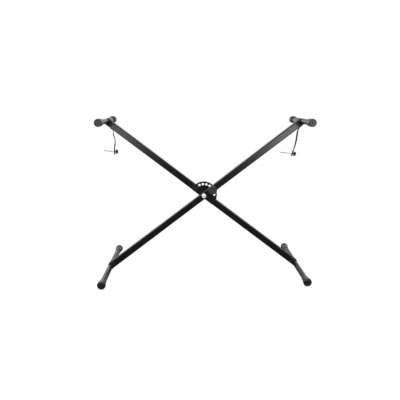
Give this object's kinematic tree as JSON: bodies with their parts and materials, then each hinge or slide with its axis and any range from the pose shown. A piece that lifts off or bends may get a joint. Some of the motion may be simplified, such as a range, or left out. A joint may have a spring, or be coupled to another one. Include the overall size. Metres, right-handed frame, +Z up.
{
  "type": "keyboard stand",
  "caption": "Folding X-shaped keyboard stand: crossed square legs on a bolt, round bars with rubber ends, a spring pin lock with a plate of holes, and hanging straps.",
  "frame": {"origin": "on the floor under the crossing bolt, midway between the legs", "axes": "+X to the right along the stand's width, +Y away from the viewer along the cross bars, +Z up"},
  "size_m": [0.7768, 0.467, 0.6017],
  "materials": {
    "powder_coat": "satin black powder coat",
    "rubber": "matt black moulded rubber",
    "zinc": "bright zinc plate",
    "spring_steel": "oiled spring wire",
    "nylon": "black nylon",
    "dark_plastic": "fine-grained black plastic",
    "brass": "turned",
    "strap_plastic": "glossy black band"
  },
  "bodies": {
    "rear_leg": {"rear_leg_tube": "powder_coat", "left_top_bar": "powder_coat", "right_foot_bar": "powder_coat", "left_top_cap_front": "rubber", "left_top_cap_rear": "rubber", "right_foot_boot_front": "rubber", "right_foot_boot_rear": "rubber", "left_top_weld": "powder_coat", "right_foot_weld": "powder_coat", "locking_plate": "powder_coat", "plate_weld_upper": "powder_coat", "plate_weld_lower": "powder_coat", "pivot_bolt": "zinc", "pivot_nut": "zinc", "pivot_nut_ring": "nylon", "pivot_washer": "zinc", "rear_leg_sleeve": "zinc", "pivot_spacer": "nylon", "left_strap_rivet": "zinc", "left_strap": "strap_plastic", "left_strap_buckle": "dark_plastic", "left_strap_tail": "strap_plastic"},
    "front_leg": {"front_leg_tube": "powder_coat", "right_top_bar": "powder_coat", "left_foot_bar": "powder_coat", "right_top_cap_front": "rubber", "right_top_cap_rear": "rubber", "left_foot_boot_front": "rubber", "left_foot_boot_rear": "rubber", "right_top_weld": "powder_coat", "left_foot_weld": "powder_coat", "front_leg_bush": "zinc", "lock_barrel": "zinc", "lock_barrel_plug": "zinc", "lock_spring": "spring_steel", "right_strap_rivet": "zinc", "right_strap": "strap_plastic", "right_strap_buckle": "dark_plastic", "right_strap_tail": "strap_plastic"},
    "lock_plunger": {"lock_pin": "zinc", "lock_knob": "dark_plastic", "lock_knob_insert": "brass"},
    "left_thumb_screw": {"left_thumb_screw_stud": "zinc", "left_thumb_screw_knob": "dark_plastic"},
    "right_thumb_screw": {"right_thumb_screw_stud": "zinc", "right_thumb_screw_knob": "dark_plastic"}
  },
  "joints": [
    {"name": "fold", "type": "hinge", "parent": "rear_leg", "child": "front_leg", "pos_m": [0, 0, 0.30162], "axis": [0, -1, 0], "range_deg": [-38.4, 96]},
    {"name": "lock", "type": "slide", "parent": "front_leg", "child": "lock_plunger", "axis": [0, -1, 0], "range_m": [-0.003, 0.004], "stiffness_N_per_m": 800, "springref_m": -0.01, "deforming": ["lock_spring"]},
    {"name": "left_screw_turn", "type": "hinge", "parent": "rear_leg", "child": "left_thumb_screw", "pos_m": [-0.34664, 0.0155, 0.46987], "axis": [1, 0, 0], "continuous": true},
    {"name": "right_screw_turn", "type": "hinge", "parent": "front_leg", "child": "right_thumb_screw", "pos_m": [0.3408, -0.0155, 0.46554], "axis": [0.9613, 0, -0.2756], "continuous": true}
  ]
}
